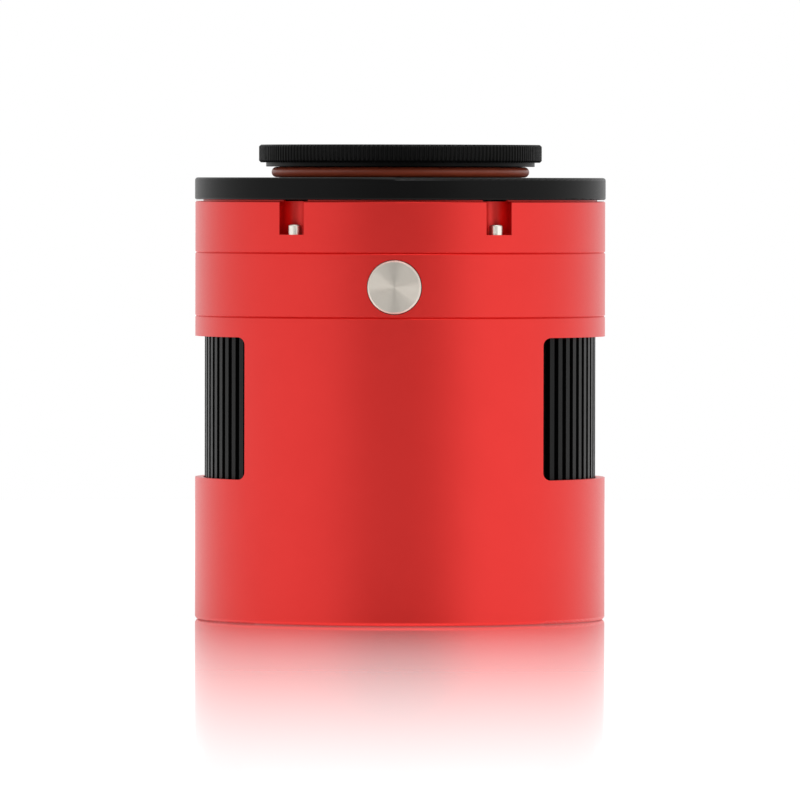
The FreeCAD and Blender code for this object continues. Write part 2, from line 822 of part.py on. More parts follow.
def make_front_plate():
    s, level = sizes, Levels
    body = new_body("front_plate")
    turn(body, tube_corners(s.thread_radius, Radii.plate, level.plate, level.plate_top))
    dress(body, "Fillet", level.plate_top, Radii.plate, s.plate_top_round)
    dress(body, "Fillet", level.plate, Radii.plate, s.plate_bottom_round)
    half_groove = s.trap_wall / 2 + s.trap_room
    groove_top = level.ring_top + s.trap_height + s.trap_room
    groove_inner = Radii.trap - half_groove
    groove_outer = Radii.trap + half_groove
    turn(body, tube_corners(groove_inner, groove_outer, level.plate, groove_top), groove=True)
    accessory = [polar(s.accessory_circle, angle) for angle in SCREW_SPOTS]
    pocket(body, level.plate_top, s.plate_thick, circles=[(spot, s.bolt_radius) for spot in accessory])
    pocket(body, level.plate_top, s.plate_thick,
           circles=[(spot, s.bolt_radius + s.bolt_clearance) for spot in tilt_spots(-1)])
    pocket(body, level.plate_top, head_seat() + s.tilt_play,
           circles=[(spot, s.bolt_head + s.bolt_clearance) for spot in tilt_spots(-1)])
    pocket(body, level.plate_top, s.plate_thick,
           circles=[(spot, s.bolt_radius + s.thread_gap) for spot in tilt_spots(1)])
    pull = level.plate_top - level.ring_top - head_seat() + s.tilt_reach - s.bolt_clearance
    screws("tilt_pull_screws", tilt_spots(-1), level.plate_top - s.bolt_clearance, s.bolt_head,
           s.bolt_head_height, s.bolt_radius, pull, s.bolt_key)
    body = new_body("tilt_push_screws")
    spots = tilt_spots(1)
    length = s.plate_thick + s.plate_gap - s.push_sink
    pad(body, level.ring_top, length, circles=[(spot, s.bolt_radius) for spot in spots])
    pocket(body, level.ring_top + length, s.push_key_depth,
           loops=[hexagon(spot, s.push_key) for spot in spots])


def make_dust_cap():
    s, level = sizes, Levels
    body = new_body("dust_cap")
    c = s.cap_chamfer
    neck = s.thread_radius + s.seal_slack * 2 - s.cap_seal_wire
    shank = s.thread_radius - s.thread_gap
    inside = shank - s.cap_wall
    dish = level.cap_top - s.cap_dish
    turn(body, [
        (0, dish), (s.cap_dish_radius, dish), (s.cap_dish_radius + s.cap_dish, level.cap_top),
        (s.cap_radius - c, level.cap_top), (s.cap_radius, level.cap_top - c), (s.cap_radius, level.cap + c),
        (s.cap_radius - c, level.cap), (s.cap_collar_radius, level.cap),
        (s.cap_collar_radius, level.cap_collar),
        (neck, level.cap_collar), (neck, level.cap_thread_top), (shank, level.cap_thread_top),
        (shank, level.cap_thread_end), (inside, level.cap_thread_end), (inside, level.cap_top - s.cap_roof),
        (0, level.cap_top - s.cap_roof),
    ])
    torus("cap_seal", neck + s.seal_slack + s.cap_seal_wire, s.cap_seal_wire,
          level.plate_top + s.seal_slack + s.cap_seal_wire)


def make_desiccant():
    s, level = sizes, Levels
    body = new_body("desiccant_plug")
    face = s.body_radius + s.plug_proud
    spot = (0, level.plug)
    under = face - s.plug_head
    pad(body, under - s.plug_shank, s.plug_shank, circles=[(spot, s.plug_thread)], plane="XZ_Plane")
    pad(body, under, s.plug_head - s.plug_rim, circles=[(spot, s.plug_radius)], plane="XZ_Plane")
    rim = pad(body, face - s.plug_rim, s.plug_rim, circles=[(spot, s.plug_radius)], plane="XZ_Plane")
    rim.TaperAngle = -45
    doc.recompute()
    seal = doc.addObject("Part::Torus", "plug_seal")
    seal.Label = "plug_seal"
    bind(seal, "Radius1", s.plug_thread + s.seal_slack + s.plug_seal_wire)
    bind(seal, "Radius2", s.plug_seal_wire)
    seal.Placement = FreeCAD.Placement(FreeCAD.Vector(), FreeCAD.Rotation(FreeCAD.Vector(1, 0, 0), 90))
    bind(seal, "Placement.Base.y", -(plug_seat() + s.seal_slack + s.plug_seal_wire))
    bind(seal, "Placement.Base.z", level.plug)
    parts.append(seal)
    tablets = new_body("desiccant_tablets")
    start = Radii.chamber + s.well_lip + s.seal_slack
    pad(tablets, start, s.tablet_stack, circles=[(spot, s.tablet_radius)], plane="XZ_Plane")


# ---------------------------------------------------------------- cooler and sensor


def make_cooler():
    s, level = sizes, Levels
    block("cooler_lower_stage", CENTRE, s.stage_one_side, s.stage_one_side, level.chamber, s.stage_one_thick)
    block("cooler_upper_stage", CENTRE, s.stage_two_side, s.stage_two_side, level.stage_two,
          s.stage_two_thick)
    body = block("cold_finger", CENTRE, s.finger_side, s.finger_side, level.finger, s.finger_foot)
    stub_bottom = level.finger + s.finger_foot
    pad(body, stub_bottom, level.sensor - stub_bottom,
        loops=[box_corners(CENTRE, s.finger_stub, s.finger_stub)])
    body = new_body("cold_insulation")
    bottom = level.stage_two
    high = s.stage_two_thick + s.finger_foot - s.foam_gap
    pad(body, bottom, high, circles=[(CENTRE, s.floor_hole)])
    side = s.finger_side + s.foam_gap * 2
    pocket(body, bottom + high, high, loops=[box_corners(CENTRE, side, side)])


def make_sensor():
    s, level = sizes, Levels
    board = new_body("sensor_board")
    pad(board, level.sensor_board, s.board_thick, circles=[(CENTRE, s.sensor_board_radius)])
    hole = s.finger_stub + s.foam_gap * 2
    pocket(board, level.sensor, s.board_thick, loops=[box_corners(CENTRE, hole, hole)])
    spots = [polar(s.sensor_pillar_circle, angle) for angle in SCREW_SPOTS]
    pocket(board, level.sensor, s.board_thick,
           circles=[(spot, s.small_bolt + s.foam_gap / 2) for spot in spots])
    package = block("sensor_package", CENTRE, s.sensor_long, s.sensor_wide, level.sensor, s.sensor_thick)
    well = level.sensor_top - (level.sensor_plane - s.die_thick)
    pocket(package, level.sensor_top, well,
           loops=[box_corners(CENTRE, s.die_long + s.foam_gap * 2, s.die_wide + s.foam_gap * 2)])
    block("sensor_die", CENTRE, s.die_long, s.die_wide, level.sensor_plane - s.die_thick, s.die_thick)
    block("sensor_cover_glass", CENTRE, s.sensor_long - s.cover_glass_frame,
          s.sensor_wide - s.cover_glass_frame, level.sensor_top, s.cover_glass)
    pillars = new_body("sensor_pillars")
    high = level.sensor_board - level.chamber_floor
    pad(pillars, level.chamber_floor, high, circles=[(spot, s.small_head) for spot in spots])
    pocket(pillars, level.sensor_board, high / 2, circles=[(spot, s.small_bolt) for spot in spots])
    screws("sensor_board_screws", spots, level.sensor + s.small_head_height, s.small_head,
           s.small_head_height, s.small_bolt, s.board_thick + high / 2, s.small_key)


def make_heat_sink():
    s, level = sizes, Levels
    body = new_body("heat_sink")
    turn(body, [
        (0, level.fin_bottom + s.fan_thick), (s.sink_core, level.fin_bottom + s.fan_thick),
        (s.sink_core + s.sink_cone, level.fin_top), (s.sink_disc_radius, level.fin_top),
        (s.sink_disc_radius, level.chamber), (0, level.chamber),
    ])
    first = as_size(270) + s.fin_pitch * (s.fin_gap_count + 1) / 2
    fin = pad(body, level.fin_bottom, level.fin_top - level.fin_bottom + s.sink_disc / 2,
              loops=[radial_box(s.fin_inner, s.sink_disc_radius - s.fin_root, s.fin_thick, first)])
    tip = pad(body, level.fin_bottom, level.fin_top - level.fin_bottom,
              loops=[radial_box(s.sink_disc_radius - s.fin_step, Radii.sink, s.fin_thick, first)])
    count = int(360 / DRIVING["fin_pitch"] - DRIVING["fin_gap_count"])
    polar_pattern(body, [fin, tip], count, DRIVING["fin_pitch"] * (count - 1))
    # open channels for the tie screws, then the tapped holes, the seal groove and the cable notch
    near, far = s.sink_disc_radius + s.fin_step, Radii.sink + s.fin_step
    channels = [wedge(near, far, s.fin_pitch, angle) for angle in SCREW_SPOTS]
    pocket(body, level.fin_top, level.fin_top - level.fin_bottom, loops=channels)
    pocket(body, level.fin_bottom + s.sink_tap, s.sink_tap,
           circles=[(spot, s.bolt_radius) for spot in fan_screw_spots()])
    pocket(body, level.chamber, s.sink_disc - s.sink_skin,
           circles=[(spot, s.bolt_radius) for spot in sink_screw_spots()])
    cut_seal_groove(body, s.sink_seal_circle, s.sink_seal_wire, s.sink_seal_room, level.chamber)
    notch = box_corners((0, -s.sink_disc_radius + s.sink_notch_centre), s.flex_wide + s.flex_margin * 2,
                        s.sink_notch)
    pocket(body, level.chamber, s.sink_disc, loops=[notch])
    screws("heat_sink_screws", sink_screw_spots(), level.chamber_floor + s.bolt_head_height, s.bolt_head,
           s.bolt_head_height, s.bolt_radius, s.floor_thick + s.sink_disc - s.sink_skin * 2, s.bolt_key)
    slack = s.seal_slack / 2
    torus("sink_seal", s.sink_seal_circle, s.sink_seal_wire, level.chamber - s.sink_seal_wire - slack)
    torus("ring_seal", Radii.ring_seal, s.ring_seal_wire, level.ring - s.ring_seal_wire - slack)


# ---------------------------------------------------------------- fan


def fan_screw_spots():
    s = sizes
    half = s.fan_hole_pitch / 2
    return [(half * side, s.fan_offset + half * lift) for side in (1, -1) for lift in (1, -1)]


def make_fan():
    s, level = sizes, Levels
    centre = (0, s.fan_offset)
    body = block("fan_frame", centre, s.fan_side, s.fan_side, level.fan, s.fan_thick)
    pocket(body, level.fin_bottom, s.fan_thick, circles=[(centre, s.fan_bore)])
    pocket(body, level.fin_bottom, s.fan_thick,
           circles=[(spot, s.bolt_radius + s.bolt_clearance) for spot in fan_screw_spots()])
    pad(body, level.fan, s.fan_mount, circles=[(centre, s.fan_hub)])
    span = (s.fan_bore + s.fan_arm_overlap) * 2
    pad(body, level.fan, s.fan_mount, loops=[box_corners(centre, span, s.fan_arm)])
    pad(body, level.fan, s.fan_mount, loops=[box_corners(centre, s.fan_arm, span)])
    make_fan_rotor(centre)
    body = new_body("fan_screws")
    spots = fan_screw_spots()
    under = level.fan
    pad(body, under, s.fan_thick + s.fan_screw_bite, circles=[(spot, s.bolt_radius) for spot in spots])
    pad(body, under - s.small_head_height, s.small_head_height,
        circles=[(spot, s.bolt_head) for spot in spots])
    pocket(body, under - s.small_head_height / 2, s.small_head_height / 2,
           loops=[hexagon(spot, s.fan_key) for spot in spots])


def make_fan_rotor(centre):
    """A hub with pitched blades, trimmed to the sweep of the fan's bore."""
    s, level = sizes, Levels
    bottom = level.fan + s.fan_mount + s.fan_tip_gap
    high = s.fan_thick - s.fan_mount - s.fan_tip_gap * 2
    blades = []
    for number in range(BLADES):
        blade = doc.addObject("Part::Box", f"fan_blade_{number}")
        bind(blade, "Length", s.fan_bore)
        bind(blade, "Width", s.fan_blade)
        bind(blade, "Height", high * 2)
        tip = FreeCAD.Rotation(FreeCAD.Vector(1, 0, 0), s.blade_lean.value)
        lean = FreeCAD.Placement(FreeCAD.Vector(), tip)
        shift = FreeCAD.Placement(FreeCAD.Vector(0, -s.fan_blade.value / 2, -high.value), FreeCAD.Rotation())
        round_axis = FreeCAD.Placement(
            FreeCAD.Vector(0, s.fan_offset.value, bottom.value + high.value / 2),
            FreeCAD.Rotation(FreeCAD.Vector(0, 0, 1), 360 * number / BLADES))
        blade.Placement = round_axis * lean * shift
        blades.append(blade)
    sweep = doc.addObject("Part::Cylinder", "fan_sweep")
    bind(sweep, "Radius", s.fan_bore - s.fan_tip_gap)
    bind(sweep, "Height", high)
    hub = doc.addObject("Part::Cylinder", "fan_hub")
    bind(hub, "Radius", s.fan_hub)
    bind(hub, "Height", high)
    for tool in (sweep, hub):
        bind(tool, "Placement.Base.y", centre[1])
        bind(tool, "Placement.Base.z", bottom)
    fan = doc.addObject("Part::MultiFuse", "fan_blades")
    fan.Shapes = blades
    trimmed = doc.addObject("Part::MultiCommon", "fan_trimmed")
    trimmed.Shapes = [fan, sweep]
    rotor = doc.addObject("Part::MultiFuse", "fan_rotor")
    rotor.Shapes = [trimmed, hub]
    rotor.Label = "fan_rotor"
    parts.append(rotor)
    doc.recompute()


# ---------------------------------------------------------------- boards and sockets


def board_corners():
    """A board that fills the case between the fan and the shell."""
    s = sizes
    half = s.board_half_width
    near = s.fan_offset - s.fan_side / 2 - s.board_fan_gap
    side, far = near - s.board_side, near - s.board_depth
    return [(-half, near), (half, near), (half, side), (half - s.board_corner, far),
            (-half + s.board_corner, far), (-half, side)]


def pillar_spots():
    s = sizes
    side = s.board_half_width - s.pillar_radius
    front = -s.socket_row + s.board_pillar_row
    return [(side, front), (-side, front), (0, -s.socket_row - s.board_pillar_tail)]


def make_boards():
    s, level = sizes, Levels
    holes = [(spot, s.small_bolt + s.foam_gap / 2) for spot in pillar_spots()]
    for name, bottom in (("port_board", level.port_board), ("main_board", level.main_board)):
        body = new_body(name)
        pad(body, bottom, s.board_thick, loops=[board_corners()])
        pocket(body, bottom + s.board_thick, s.board_thick, circles=holes)
    pillars = new_body("board_pillars")
    high = level.port_board - level.cover_inside
    pad(pillars, level.cover_inside, high, circles=[(spot, s.pillar_radius) for spot in pillar_spots()])
    pocket(pillars, level.port_board, high / 2, circles=[(spot, s.small_bolt) for spot in pillar_spots()])
    spacers = new_body("board_spacers")
    bottom = level.port_board + s.board_thick
    pad(spacers, bottom, s.board_gap, circles=[(spot, s.pillar_radius) for spot in pillar_spots()])
    pocket(spacers, bottom + s.board_gap, s.board_gap,
           circles=[(spot, s.small_bolt + s.foam_gap / 2) for spot in pillar_spots()])
    screws("board_screws", pillar_spots(), level.main_board_top + s.small_head_height, s.pillar_radius,
           s.small_head_height, s.small_bolt, s.board_thick * 2 + s.board_gap + s.board_screw_bite,
           s.small_key)
    chips = new_body("board_chips")
    row = -s.socket_row
    pad(chips, level.port_board + s.board_thick, s.chip_thick, loops=[
        box_corners((0, row), s.chip_side, s.chip_side),
        box_corners((-s.jack_place, row), s.small_chip_wide, s.small_chip_high),
        box_corners((s.jack_place, row), s.small_chip_wide, s.small_chip_high),
    ])
    place = (0, -s.flex_row)
    block("flex_socket", place, s.flex_wide, s.connector_deep, level.main_board_top, s.connector_high)
    start = level.main_board_top + s.connector_high
    block("flex_cable", place, s.flex_wide - s.flex_margin, s.flex_thick, start, level.fin_top - start)
    high = level.chamber_floor - level.fin_top + s.connector_proud
    block("chamber_connector", place, s.flex_wide, s.connector_deep, level.fin_top, high)


def hollow_socket(name, spots, wide, high, tongue_wide, tongue_high):
    """Sheet-metal sockets that open downwards, each with a tongue inside."""
    s = sizes
    body = new_body(name)
    bottom = s.socket_recess
    pad(body, bottom, s.socket_depth, loops=[box_corners(spot, wide, high) for spot in spots])
    inner_wide = as_size(wide) - s.socket_wall * 2
    inner_high = as_size(high) - s.socket_wall * 2
    pocket(body, bottom + s.socket_well, s.socket_well,
           loops=[box_corners(spot, inner_wide, inner_high) for spot in spots])
    pad(body, bottom + s.tongue_sink, s.socket_well,
        loops=[box_corners(spot, tongue_wide, tongue_high) for spot in spots])


def make_sockets():
    s, level = sizes, Levels
    hollow_socket("usb_b_port", [(0, -s.socket_row)], s.usb_b_wide, s.usb_b_high,
                  s.usb_b_tongue_wide, s.usb_b_tongue_high)
    hollow_socket("usb_a_ports", usb_a_spots(), s.usb_a_wide, s.usb_a_high,
                  s.usb_a_tongue_wide, s.usb_a_tongue_high)
    body = new_body("power_jack")
    spot = (-s.jack_place, -s.socket_row)
    back = level.cover_inside + s.plate_gap
    pad(body, back, level.port_board - back, loops=[box_corners(spot, s.jack_wide, s.jack_high)])
    pad(body, s.socket_recess, back - s.socket_recess, circles=[(spot, s.jack_nose)])
    pocket(body, s.socket_recess + s.socket_well, s.socket_well, circles=[(spot, s.jack_bore)])
    pad(body, s.socket_recess + s.tongue_sink, s.socket_well, circles=[(spot, s.jack_pin)])


# ---------------------------------------------------------------- build, check and write


def check_document():
    for item in doc.Objects:
        if "Invalid" in item.State or "Error" in item.State:
            raise ValueError(f"{item.Label} failed to build")
    for part in parts:
        if part.Shape.isNull() or not part.Shape.isValid() or not part.Shape.Solids:
            raise ValueError(f"{part.Label} has no valid solid")


def write_parts():
    os.makedirs("parts", exist_ok=True)
    for part in parts:
        part.Shape.exportStep(f"parts/{part.Label}.step")
        print(part.Label, len(part.Shape.Solids), "solids", round(part.Shape.Volume, 1), "mm3")


make_rear_cover()
make_main_housing()
make_case_screws()
make_chamber_ring()
make_front_ring()
make_ring_screws()
make_window()
make_front_plate()
make_dust_cap()
make_desiccant()
make_cooler()
make_sensor()
make_heat_sink()
make_fan()
make_boards()
make_sockets()
doc.recompute()
check_document()
write_parts()
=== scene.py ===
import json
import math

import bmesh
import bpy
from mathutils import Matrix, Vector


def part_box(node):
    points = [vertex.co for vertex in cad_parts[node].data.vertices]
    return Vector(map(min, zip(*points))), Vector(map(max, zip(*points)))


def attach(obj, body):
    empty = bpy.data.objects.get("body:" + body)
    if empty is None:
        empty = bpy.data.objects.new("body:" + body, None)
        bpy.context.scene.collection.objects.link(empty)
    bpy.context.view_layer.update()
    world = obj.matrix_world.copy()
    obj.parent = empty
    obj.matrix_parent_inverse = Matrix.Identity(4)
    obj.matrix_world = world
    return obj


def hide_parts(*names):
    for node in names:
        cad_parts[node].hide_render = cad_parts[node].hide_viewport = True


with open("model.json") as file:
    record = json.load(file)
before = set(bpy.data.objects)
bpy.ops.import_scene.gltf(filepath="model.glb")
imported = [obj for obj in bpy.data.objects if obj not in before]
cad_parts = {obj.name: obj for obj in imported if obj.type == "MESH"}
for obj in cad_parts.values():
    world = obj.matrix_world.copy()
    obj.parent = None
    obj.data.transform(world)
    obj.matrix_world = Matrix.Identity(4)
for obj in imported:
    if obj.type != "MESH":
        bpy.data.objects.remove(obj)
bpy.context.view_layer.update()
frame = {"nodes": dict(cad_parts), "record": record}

# %% [markdown]
# # A cooled deep-sky camera
# The camera is a stack of turned aluminium rings, 90 mm across: a housing with a finned heat sink behind
# two vent windows, a chamber ring with a desiccant plug, a front ring, a black tilt plate and a dust cap.
# The engineering model is already loaded, and most of its parts only need a finish. A few parts are too
# plain in it, so they are made again here: the knurled cap, the turned plug and the fan. The last steps
# build a small studio around the camera.

MM = 0.001

# %% [markdown]
# ## Colours
# A finish is easiest to choose as a hex value, the way a colour chart gives it. Blender calculates with
# linear light, so one function does the conversion for every material.


# %% Hex colours to linear light
def colour(code):
    """Linear RGBA of a hex sRGB colour."""
    linear = []
    for start in (1, 3, 5):
        share = int(code[start:start + 2], 16) / 255
        linear.append(share / 12.92 if share <= 0.04045 else ((share + 0.055) / 1.055) ** 2.4)
    return (*linear, 1.0)


print("anodised red in linear light:", [round(value, 3) for value in colour("#e04038")])


# %% [markdown]
# ## Nodes
# Every material is a small tree. One function adds a node, sets its properties or sockets, and links it.


# %% Adding a node
def add(tree, kind, settings, links=()):
    """A new node of a tree, with property or socket values, and links from other sockets."""
    made = tree.nodes.new("ShaderNode" + kind)
    for name, value in settings.items():
        if isinstance(name, str) and hasattr(made, name):
            setattr(made, name, value)
        else:
            made.inputs[name].default_value = value
    for name, source in dict(links).items():
        tree.links.new(source, made.inputs[name])
    return made


# %% An empty material
def new_material(name):
    """A material, its empty tree, and the output that gives object coordinates."""
    material = bpy.data.materials.new(name)
    material.use_nodes = True
    material.node_tree.nodes.clear()
    return material, material.node_tree, add(material.node_tree, "TexCoord", {}).outputs["Object"]


# %% Closing a material
def close(material, tree, settings, links):
    """Ends a tree with its surface shader and the output, and returns the material."""
    surface = add(tree, "BsdfPrincipled", settings, links)
    add(tree, "OutputMaterial", {}, {"Surface": surface.outputs["BSDF"]})
    return material


# %% [markdown]
# ## Grain
# Blasting, moulding and casting all leave a grain: tiny bumps of one size. A noise texture of that size,
# in millimetres, drives both a bump and a slight change of roughness.


# %% A grain of one size
def grain(tree, place, size, height, rough_low, rough_high):
    """Roughness and normal sockets of an even grain, sizes in millimetres."""
    noise = add(tree, "TexNoise", {"Scale": 1 / (size * MM), "Detail": 2.0}, {"Vector": place})
    rough = add(tree, "MapRange", {"From Min": 0.3, "From Max": 0.7, "To Min": rough_low,
                                   "To Max": rough_high}, {"Value": noise.outputs["Fac"]})
    bump = add(tree, "Bump", {"Strength": 1.0, "Distance": height * MM}, {"Height": noise.outputs["Fac"]})
    return rough.outputs["Result"], bump.outputs["Normal"]


# %% Two tones in soft patches
def patches(tree, place, size, first, second):
    """A colour socket that drifts between two close tones, patch size in millimetres."""
    noise = add(tree, "TexNoise", {"Scale": 1 / (size * MM), "Detail": 3.0}, {"Vector": place})
    mix = add(tree, "Mix", {"data_type": "RGBA", 6: colour(first), 7: colour(second)},
              {0: noise.outputs["Fac"]})
    return mix.outputs[2]


# %% [markdown]
# ## Red anodised aluminium
# The rings are bead-blasted and then anodised and dyed. The dye sits in a clear oxide on bright metal, so
# the colour is a metal's and stays rich in the light. The clear oxide works as a thin satin coat, which
# turns the red pale where the wall curves away. The blasting is finer than 0.1 mm; it is drawn at 0.3 mm so
# that it shows.


# %% Bead-blasted red
def blasted_red():
    """Red dyed metal under a thin satin coat."""
    material, tree, place = new_material("aluminium_blasted_anodised_red")
    rough, normal = grain(tree, place, 0.3, 0.004, 0.36, 0.44)
    tone = patches(tree, place, 9.0, "#d82a25", "#d42621")
    coat = {"Coat Weight": 0.36, "Coat IOR": 1.6, "Coat Roughness": 0.3}
    return close(material, tree, {"Metallic": 1.0, **coat},
                 {"Base Color": tone, "Roughness": rough, "Normal": normal})


# %% [markdown]
# ## Black anodised aluminium
# Black dye takes almost all the light that enters the oxide, so what is left is the gloss of its surface:
# nearly black face on, and grey along the edges of a round part.


# %% Satin black
def satin_black(name, rough_low, rough_high, first, second):
    """Black dyed oxide, drifting between two close tones."""
    material, tree, place = new_material(name)
    rough, normal = grain(tree, place, 0.25, 0.003, rough_low, rough_high)
    tone = patches(tree, place, 6.0, first, second)
    return close(material, tree, {"Metallic": 0.0, "IOR": 1.6, "Specular IOR Level": 0.08},
                 {"Base Color": tone, "Roughness": rough, "Normal": normal})


# %% [markdown]
# ## Turned steel
# A lathe leaves rings so fine that they work as a brushed finish: the light spreads across them, and a
# round face shows two pale fans. The tangent follows the rings, about the part's own axis.


# %% Turned about an axis
def turned(name, tones, centre, axis, ring, rough_low, rough_high, stretch):
    """Turned metal; the centre is in metres and the ring width in millimetres."""
    material, tree, place = new_material(name)
    arm = add(tree, "VectorMath", {"operation": "SUBTRACT", 1: centre}, {0: place})
    along = add(tree, "VectorMath", {"operation": "CROSS_PRODUCT", 1: axis}, {0: arm.outputs[0]})
    tangent = add(tree, "VectorTransform", {"vector_type": "VECTOR", "convert_from": "OBJECT",
                                            "convert_to": "WORLD"}, {"Vector": along.outputs[0]})
    reach = add(tree, "VectorMath", {"operation": "LENGTH"}, {0: along.outputs[0]})
    rings = add(tree, "TexNoise", {"noise_dimensions": "1D", "Scale": 1 / (ring * MM), "Detail": 2.0},
                {"W": reach.outputs["Value"]})
    rough = add(tree, "MapRange", {"From Min": 0.3, "From Max": 0.7, "To Min": rough_low,
                                   "To Max": rough_high}, {"Value": rings.outputs["Fac"]})
    bump = add(tree, "Bump", {"Strength": 1.0, "Distance": 0.0006 * MM}, {"Height": rings.outputs["Fac"]})
    tone = patches(tree, place, 4.0, *tones)
    return close(material, tree, {"Metallic": 1.0, "Anisotropic": stretch},
                 {"Base Color": tone, "Roughness": rough.outputs["Result"],
                  "Normal": bump.outputs["Normal"], "Tangent": tangent.outputs[0]})


# %% [markdown]
# ## Plain finishes
# Rubber, moulded plastic, foam, film, plating and ceramic differ in colour, gloss and grain, so one recipe
# takes those as its settings.


# %% A grained finish
def grained(name, tones, size, height, rough_low, rough_high, **sockets):
    """A material with two close tones and one grain; sizes in millimetres."""
    material, tree, place = new_material(name)
    rough, normal = grain(tree, place, size, height, rough_low, rough_high)
    tone = patches(tree, place, size * 8, *tones)
    settings = {key.replace("_", " "): value for key, value in sockets.items()}
    return close(material, tree, settings, {"Base Color": tone, "Roughness": rough, "Normal": normal})


# %% Finishes by the record's material slots
STEEL_TONES = ("#cfc9c0", "#c4beb4")
finishes = {
    "red_anodised_aluminium": blasted_red(),
    "black_anodised_aluminium": satin_black("aluminium_anodised_black", 0.3, 0.38, "#060606", "#040404"),
    "stainless_steel": grained("steel_stainless_passivated", STEEL_TONES, 0.3, 0.003, 0.24, 0.34,
                               Metallic=1.0),
    "black_steel": grained("steel_black_oxide", ("#26262a", "#1d1d20"), 0.25, 0.004, 0.3, 0.42,
                           Metallic=1.0),
    "brown_rubber": grained("fluoro_rubber_moulded_brown", ("#b04e32", "#9f432a"), 0.5, 0.006, 0.36, 0.48,
                            IOR=1.45),
    "black_rubber": grained("nitrile_rubber_moulded_black", ("#171717", "#101010"), 0.4, 0.006, 0.5, 0.6,
                            IOR=1.5),
    "coated_glass": grained("glass_polished_coated", ("#e6f5ee", "#dff0f2"), 2.0, 0.0002, 0.0, 0.02,
                            IOR=1.52, Transmission_Weight=1.0),
    "polyimide_film": grained("polyimide_film_amber", ("#b46a18", "#a55d12"), 1.2, 0.01, 0.2, 0.3,
                              IOR=1.7),
    "green_board": grained("glass_epoxy_solder_mask_green", ("#0d5a2b", "#0a4c25"), 0.8, 0.01, 0.25, 0.35,
                           IOR=1.55),
    "black_plastic": grained("plastic_moulded_black", ("#1c1c1d", "#151516"), 0.4, 0.012, 0.4, 0.52,
                             IOR=1.5),
    "nickel_shell": grained("steel_nickel_plated", ("#d4d0c8", "#cac6bd"), 0.5, 0.004, 0.18, 0.26,
                            Metallic=1.0),
    "blue_socket": grained("steel_nickel_plated_shell", ("#d2cec6", "#c8c4bb"), 0.5, 0.004, 0.18, 0.26,
                           Metallic=1.0),
    "brass_pillar": grained("brass_turned", ("#d8b56a", "#cca85e"), 0.3, 0.004, 0.24, 0.34, Metallic=1.0),
    "nylon_pillar": grained("nylon_turned_natural", ("#e8e4d6", "#ddd8c8"), 0.4, 0.008, 0.4, 0.5,
                            IOR=1.53),
    "ceramic_plate": grained("alumina_sintered_white", ("#eeeae0", "#e6e1d6"), 0.3, 0.006, 0.45, 0.55,
                             IOR=1.76),
    "copper_block": grained("copper_milled", ("#d98a63", "#cc7c56"), 0.4, 0.006, 0.25, 0.35,
                            Metallic=1.0),
    "black_foam": grained("foam_closed_cell_black", ("#1b1b1c", "#0f0f10"), 0.8, 0.12, 0.8, 0.95,
                          IOR=1.45),
    "silicon_die": grained("silicon_polished", ("#26303e", "#2c2a3c"), 3.0, 0.0005, 0.06, 0.12,
                           IOR=3.5),
    "desiccant": grained("silica_pressed_white", ("#efece2", "#e2ded2"), 0.3, 0.04, 0.8, 0.9, IOR=1.46),
}
print(len(finishes), "finishes")

# %% [markdown]
# ## Dressing the engineering parts
# The record says which finish each part takes, so a loop can dress them all. Their shapes stay as they are.

# %% One finish for each part
for entry in frame["record"]["subparts"]:
    part = frame["nodes"][entry["node"]]
    part.data.materials.clear()
    part.data.materials.append(finishes[entry["material_slot"]])
print(len(frame["nodes"]), "parts dressed")

# %% [markdown]
# The posts in the notches stand out from the other screws: they are freshly turned and brighter, so they
# get a paler steel of their own.

# %% Bright posts
post_steel = grained("steel_stainless_bright", ("#f0ece2", "#e6e1d6"), 0.3, 0.002, 0.3, 0.4, Metallic=1.0)
posts = frame["nodes"]["notch_screws"].data.materials
posts.clear()
posts.append(post_steel)
print("posts in", post_steel.name)


# %% [markdown]
# ## Making pieces
# A new piece is drawn in a bmesh, where an operator such as extrude or spin changes the shape. When it is
# done, its doubles are merged, its faces are turned outwards, and edges sharper than a limit stay crisp.


# %% From a bmesh to a piece of the camera
CRISP = math.radians(32)
MERGE = 0.001 * MM


def keep(name, shape, material, body, stands_for=()):
    """Closes a bmesh, makes it an object, and ties it to its body and slot."""
    bmesh.ops.remove_doubles(shape, verts=shape.verts, dist=MERGE)
    bmesh.ops.recalc_face_normals(shape, faces=shape.faces)
    for face in shape.faces:
        face.smooth = True
    for edge in shape.edges:
        edge.smooth = edge.calc_face_angle(0.0) < CRISP
    mesh = bpy.data.meshes.new(name)
    shape.to_mesh(mesh)
    shape.free()
    mesh.materials.append(material)
    piece = bpy.data.objects.new(name, mesh)
    bpy.context.scene.collection.objects.link(piece)
    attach(piece, body)
    if stands_for:
        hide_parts(*stands_for)
    print(name, len(mesh.polygons), "faces on", body)
    return piece


# %% [markdown]
# A turned part is a ring that walks along its outline: each step extrudes the ring's edges, scales them to
# the next radius and lifts them to the next height, as a potter raises a wall.


